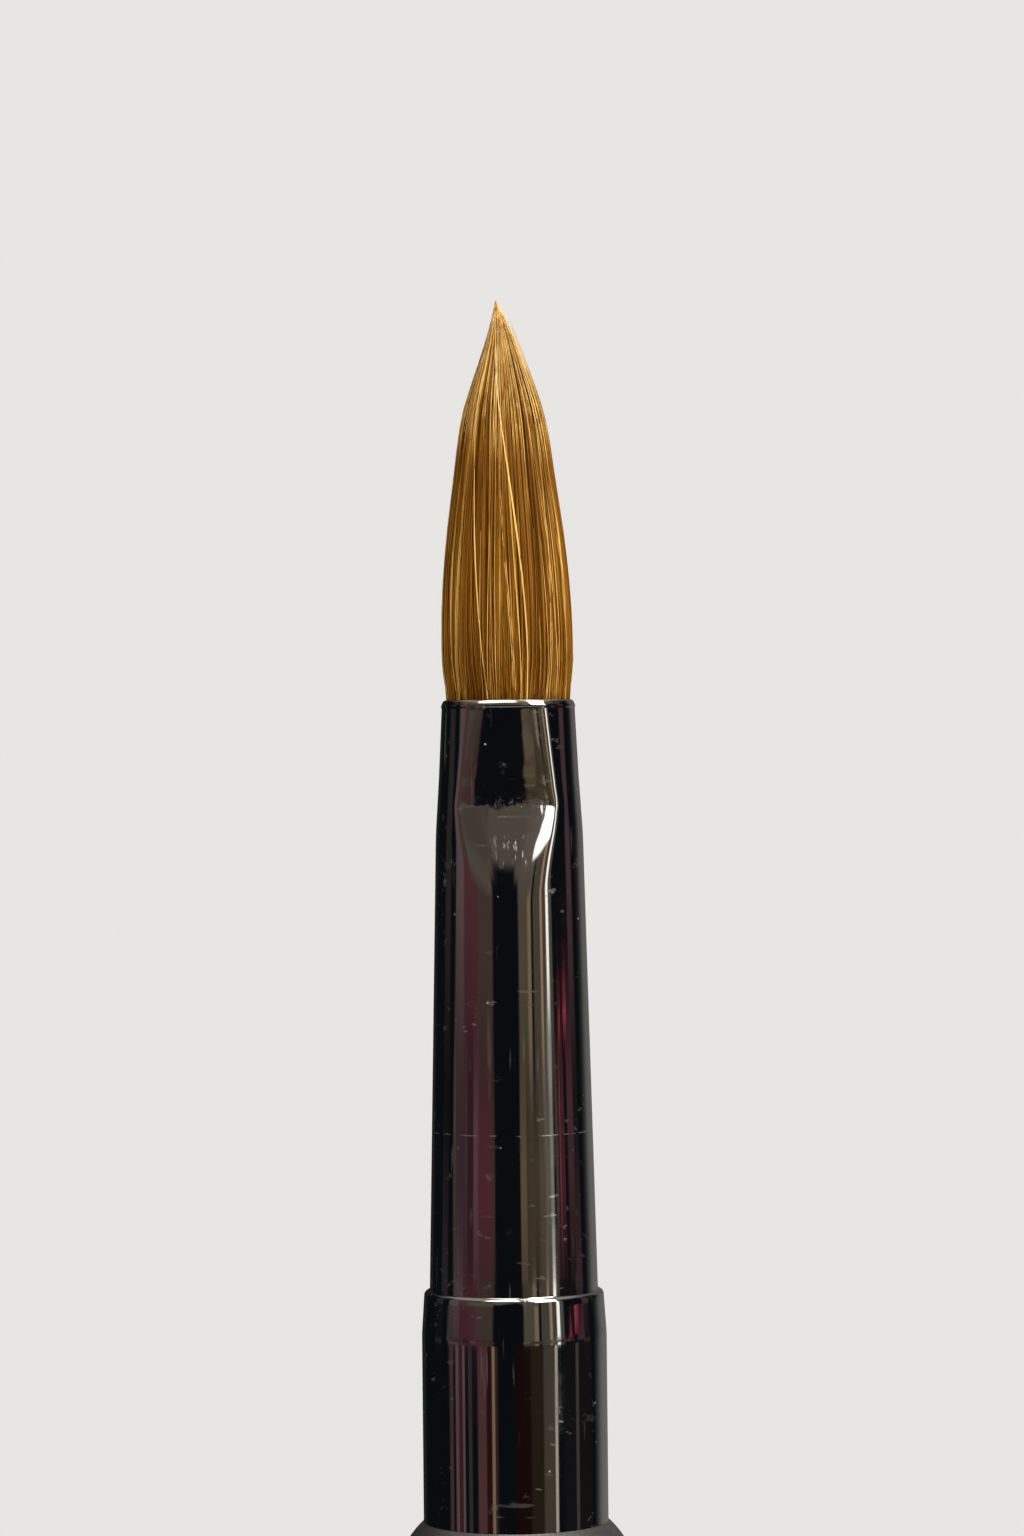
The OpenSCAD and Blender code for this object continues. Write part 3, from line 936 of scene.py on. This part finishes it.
def card_group():
    """One card in the ring round the brush: a soft-edged patch of colour laid over what is behind it."""
    group, given, result = node_group(
        "studio_card", ["Azimuth", "Elevation", "Behind", "Card", "Left", "Right", "Low", "High", "Soft"],
        ["Colour"], colours=("Behind", "Card", "Colour"))
    edges = []
    for value, low, high in (("Azimuth", "Left", "Right"), ("Elevation", "Low", "High")):
        for edge, sign in ((low, 1), (high, -1)):
            past = calc(group, "MULTIPLY", calc(group, "SUBTRACT", given[value], given[edge]), sign)
            share = calc(group, "DIVIDE", past, given["Soft"])
            edges.append(span(group, share, -1.0, 1.0, "SMOOTHSTEP"))
    covered = blend(group, both(group, *edges), given["Behind"], given["Card"])
    group.links.new(covered, result["Colour"])
    return group


# Rings of cards, each between a low and a high edge above the horizon. Each card has a left and
# a right edge round the brush (0 in front, + to the right), softness, all in degrees, then its
# colour and brightness. A later ring lies over an earlier one.
room_cards = [
    (-117, -103, 1.5, (0.95, 0.85, 0.90), 0.028), (-91, -82, 2.0, (0.95, 0.72, 0.76), 0.115),
    (-84, -73, 1.5, (0.95, 0.62, 0.65), 0.125), (-75, -48, 2.0, (0.95, 0.30, 0.42), 0.092),
    (-50, -27, 2.0, (0.95, 0.68, 0.54), 0.068), (12, 26, 1.5, (0.95, 0.76, 0.50), 0.105),
    (25.5, 31, 0.8, (0.95, 0.76, 0.50), 0.23), (34.5, 46, 1.0, (0.95, 0.80, 0.58), 0.085),
    (45.5, 49.5, 0.8, (0.95, 0.74, 0.50), 0.36), (49.5, 55, 1.0, (0.95, 0.75, 0.50), 0.085),
    (55.5, 60, 0.8, (1.00, 0.98, 0.94), 1.4), (60, 65.5, 1.0, (0.90, 0.88, 0.72), 0.10),
    (97, 109, 1.5, (0.95, 0.50, 0.60), 0.075),
]
card_rings = [
    (-90, -30, [(-180, 180, 8.0, (0.80, 0.78, 0.75), 0.25)]),
    (32, 90, [(-180, 180, 8.0, (0.75, 0.74, 0.72), 0.16)]),
    (-30, 60, [
        (-205, -148, 3.0, (0.80, 0.82, 0.80), 0.020), (136, 205, 10.0, (0.80, 0.79, 0.76), 0.15),
    ]),
    (-1.3, 60, room_cards),
    (-5.8, -3.5, room_cards),
    (-3.5, -1.3, [
        (-93.5, -88.5, 1.0, (0.95, 0.76, 0.74), 0.075), (-88, -72, 2.0, (0.95, 0.50, 0.56), 0.060),
        (-72, -67, 1.0, (0.95, 0.50, 0.62), 0.070), (-67, -58, 1.0, (0.95, 0.45, 0.55), 0.036),
        (-57.5, -49, 1.0, (0.95, 0.48, 0.56), 0.125), (-50, -30, 1.0, (0.95, 0.27, 0.38), 0.100),
        (-31, -25, 1.0, (0.95, 0.50, 0.45), 0.070), (11, 20, 1.0, (0.95, 0.72, 0.45), 0.150),
        (20, 38, 1.0, (0.95, 0.68, 0.42), 0.073), (38, 47, 1.5, (0.95, 0.76, 0.52), 0.120),
        (47, 55, 1.5, (0.95, 0.85, 0.68), 0.165), (55, 60.5, 1.0, (0.95, 0.93, 0.78), 0.240),
        (64, 69, 1.0, (0.95, 0.60, 0.64), 0.090), (70.8, 73.8, 0.8, (0.95, 0.20, 0.24), 0.250),
        (75, 80, 1.0, (0.95, 0.28, 0.40), 0.095), (86, 98, 1.5, (0.95, 0.42, 0.50), 0.095),
    ]),
    (-1.3, -0.5, [(53, 61, 0.4, (0.95, 0.93, 0.84), 0.260)]),
    (-1.1, -0.7, [(73, 77, 0.15, (0.95, 0.14, 0.20), 0.300), (82, 89, 0.15, (0.95, 0.12, 0.18), 0.450)]),
    (-30, -5.8, [
        (-89, -83, 1.0, (0.95, 0.50, 0.62), 0.070), (-79, -74, 1.0, (0.95, 0.52, 0.58), 0.140),
        (-74, -69.5, 1.0, (0.95, 0.32, 0.36), 0.060), (-68.5, -65, 0.8, (0.95, 0.60, 0.62), 0.140),
        (-60, -55, 1.0, (0.95, 0.85, 0.90), 0.040), (-47, -35.5, 1.5, (0.95, 0.38, 0.42), 0.105),
        (-35, -29, 1.0, (0.95, 0.25, 0.20), 0.030), (-28.5, -24.5, 0.7, (0.95, 0.60, 0.38), 0.270),
        (-24.5, -21, 1.0, (0.95, 0.65, 0.50), 0.035), (2, 22, 5.0, (0.95, 0.32, 0.20), 0.015),
        (20, 36, 1.5, (0.95, 0.65, 0.38), 0.026), (36, 50, 1.5, (0.95, 0.80, 0.58), 0.075),
        (51, 55, 0.7, (0.95, 0.84, 0.62), 0.520), (64, 112, 6.0, (0.95, 0.84, 0.80), 0.012),
        (82, 87, 1.0, (0.95, 0.78, 0.72), 0.070), (128, 205, 12.0, (0.80, 0.79, 0.76), 0.250),
    ]),
    (2, 60, [(-74, -47, 2.5, (0.95, 0.72, 0.58), 0.072)]),
    (13, 60, [(-62, 31, 3.0, (0.95, 0.82, 0.67), 0.104)]),
    (8, 60, [(-62, -22, 2.5, (0.95, 0.82, 0.67), 0.104), (6, 31, 2.5, (0.95, 0.82, 0.67), 0.104)]),
    (3, 60, [(-62, -26, 2.0, (0.95, 0.82, 0.67), 0.104), (11, 31, 2.0, (0.95, 0.82, 0.67), 0.104)]),
    (10, 60, [(-62, -20, 6.0, (0.95, 0.81, 0.67), 0.076), (15, 33, 5.0, (0.96, 0.84, 0.70), 0.135)]),
    (12, 24, [(28, 50, 1.5, (1.00, 0.97, 0.93), 2.2)]),
    (44, 85, [
        (-150, 150, 8.0, (0.85, 0.80, 0.68), 0.40), (-46, 8, 4.0, (1.00, 0.97, 0.92), 4.0),
        (40, 68, 4.0, (1.00, 0.97, 0.92), 4.0),
    ]),
]
world = bpy.data.worlds.new("studio_world")
bpy.context.scene.world = world
world.use_nodes = True
world.cycles.sampling_method = "NONE"
tree = world.node_tree
tree.nodes.clear()
direction = node(tree, "SeparateXYZ", {"Vector": node(tree, "TexCoord").outputs["Generated"]})
azimuth = calc(tree, "DEGREES", calc(tree, "ARCTAN2", direction.outputs["X"],
                                     calc(tree, "MULTIPLY", direction.outputs["Y"], -1)))
elevation = calc(tree, "DEGREES", calc(tree, "ARCSINE", direction.outputs["Z"]))
ring = node(tree, "RGB").outputs[0]
ring.default_value = (0.004, 0.006, 0.0075, 1)
card = card_group()
for low, high, cards in card_rings:
    for left, right, soft, colour, strength in cards:
        placed = node(tree, "Group", {
            "Azimuth": azimuth, "Elevation": elevation, "Behind": ring, "Left": left, "Right": right,
            "Low": low, "High": high, "Soft": soft, "Card": (*(c * strength for c in colour), 1),
        }, node_tree=card)
        ring = placed.outputs["Colour"]
light_path = node(tree, "LightPath")
mirrored = node(tree, "Background", {"Color": ring, "Strength": 1.0})
room = node(tree, "Background", {"Color": (*pale, 1), "Strength": 0.35})
seen = node(tree, "Background", {"Color": (*pale, 1), "Strength": 1.0})
by_gloss = node(tree, "MixShader", {0: light_path.outputs["Is Glossy Ray"], 1: room.outputs[0],
                                    2: mirrored.outputs[0]})
by_camera = node(tree, "MixShader", {0: light_path.outputs["Is Camera Ray"], 1: by_gloss.outputs[0],
                                     2: seen.outputs[0]})
node(tree, "OutputWorld", {"Surface": by_camera.outputs[0]})


def soft_box(name, azimuth, elevation, distance, size, power, mirrored):
    """A square area light aimed at the tuft."""
    lamp = bpy.data.lights.new(name, "AREA")
    lamp.shape = "SQUARE"
    lamp.size = size
    lamp.energy = power
    lamp.color = (1.0, 0.96, 0.90)
    box = bpy.data.objects.new(name, lamp)
    bpy.context.scene.collection.objects.link(box)
    a, e = math.radians(azimuth), math.radians(elevation)
    back = Vector((math.sin(a) * math.cos(e), -math.cos(a) * math.cos(e), math.sin(e)))
    target = Vector((0, 0, (mouth_z + collar_top) / 2))
    box.location = target + back * distance
    box.rotation_mode = "QUATERNION"
    box.rotation_quaternion = back.to_track_quat("Z", "Y")
    box.visible_glossy = mirrored
    box.visible_camera = False


soft_box("key_box", 44, 38, 0.9, 0.45, 8.4, True)
soft_box("fill_box", -55, 25, 1.0, 0.6, 2.2, False)
soft_box("top_box", -8, 72, 0.8, 0.25, 4.2, False)
soft_box("back_box", 170, 35, 1.0, 0.6, 5.0, False)

lens = 113.67
camera_distance = 0.252
camera_z = tip_z - 0.02434
camera_side = 0.00017
camera_roll = math.radians(0.57)
camera_data = bpy.data.cameras.new("camera")
camera_data.lens = lens
camera_data.sensor_width = 36
camera_data.clip_start = 0.01
camera_data.clip_end = 50
camera = bpy.data.objects.new("camera", camera_data)
bpy.context.scene.collection.objects.link(camera)
camera.location = (camera_side, -camera_distance, camera_z)
camera.rotation_euler = (math.pi / 2, camera_roll, 0)
bpy.context.scene.camera = camera
bpy.context.scene.view_settings.view_transform = "Standard"
